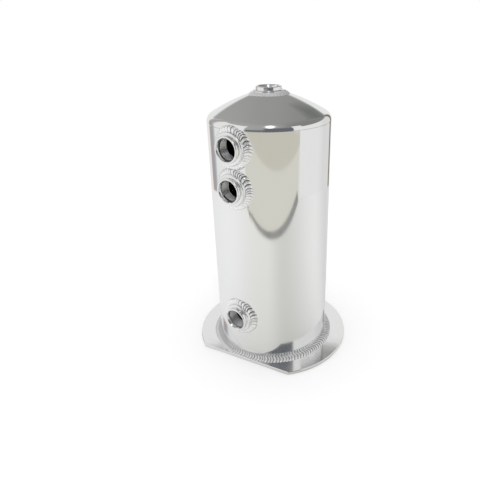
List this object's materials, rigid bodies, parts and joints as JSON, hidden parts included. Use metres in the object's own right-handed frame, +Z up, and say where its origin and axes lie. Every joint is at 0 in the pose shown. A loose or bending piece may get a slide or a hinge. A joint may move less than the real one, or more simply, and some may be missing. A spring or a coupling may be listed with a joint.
{
  "type": "fuel surge tank",
  "caption": "Upright welded aluminium fuel surge tank: polished tube with a spun cone top, threaded bungs in a line down its side and one in its tip, on a round base plate with one flat.",
  "frame": {"origin": "tank axis at the underside of the base plate", "axes": "+Z up along the tank axis, -Y out of the base plate's flat"},
  "size_m": [0.152, 0.1394, 0.2513],
  "materials": {
    "polished_aluminium": "mirror polished",
    "machined_aluminium": "turned and polished",
    "weld_aluminium": "as welded, rippled"
  },
  "bodies": {
    "root": {"base_plate": "polished_aluminium", "tank_tube": "polished_aluminium", "top_cone": "polished_aluminium", "top_bung": "machined_aluminium", "upper_port_bung": "machined_aluminium", "middle_port_bung": "machined_aluminium", "lower_port_bung": "machined_aluminium", "base_weld_bead": "weld_aluminium", "top_bung_weld": "weld_aluminium", "upper_port_weld": "weld_aluminium", "middle_port_weld": "weld_aluminium", "lower_port_weld": "weld_aluminium"}
  },
  "joints": []
}
